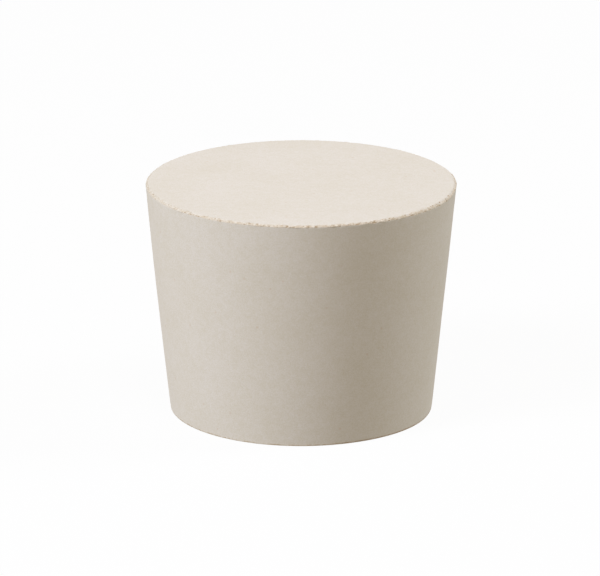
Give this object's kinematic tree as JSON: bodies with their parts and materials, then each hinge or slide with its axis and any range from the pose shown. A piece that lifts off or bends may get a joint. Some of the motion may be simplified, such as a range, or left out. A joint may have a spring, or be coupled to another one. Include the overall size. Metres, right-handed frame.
{
  "type": "rubber stopper",
  "caption": "Solid tapered rubber stopper with flat ends, for a round laboratory neck, with a narrow torn land left by trimming round its large end.",
  "frame": {"origin": "centre of the small end face, which the stopper stands on", "axes": "+Z along the stopper's axis, from the small end to the large end; X and Y across it"},
  "size_m": [0.0601, 0.06, 0.045],
  "materials": {
    "rubber": "matte"
  },
  "bodies": {
    "root": {"stopper": "rubber"}
  },
  "joints": []
}
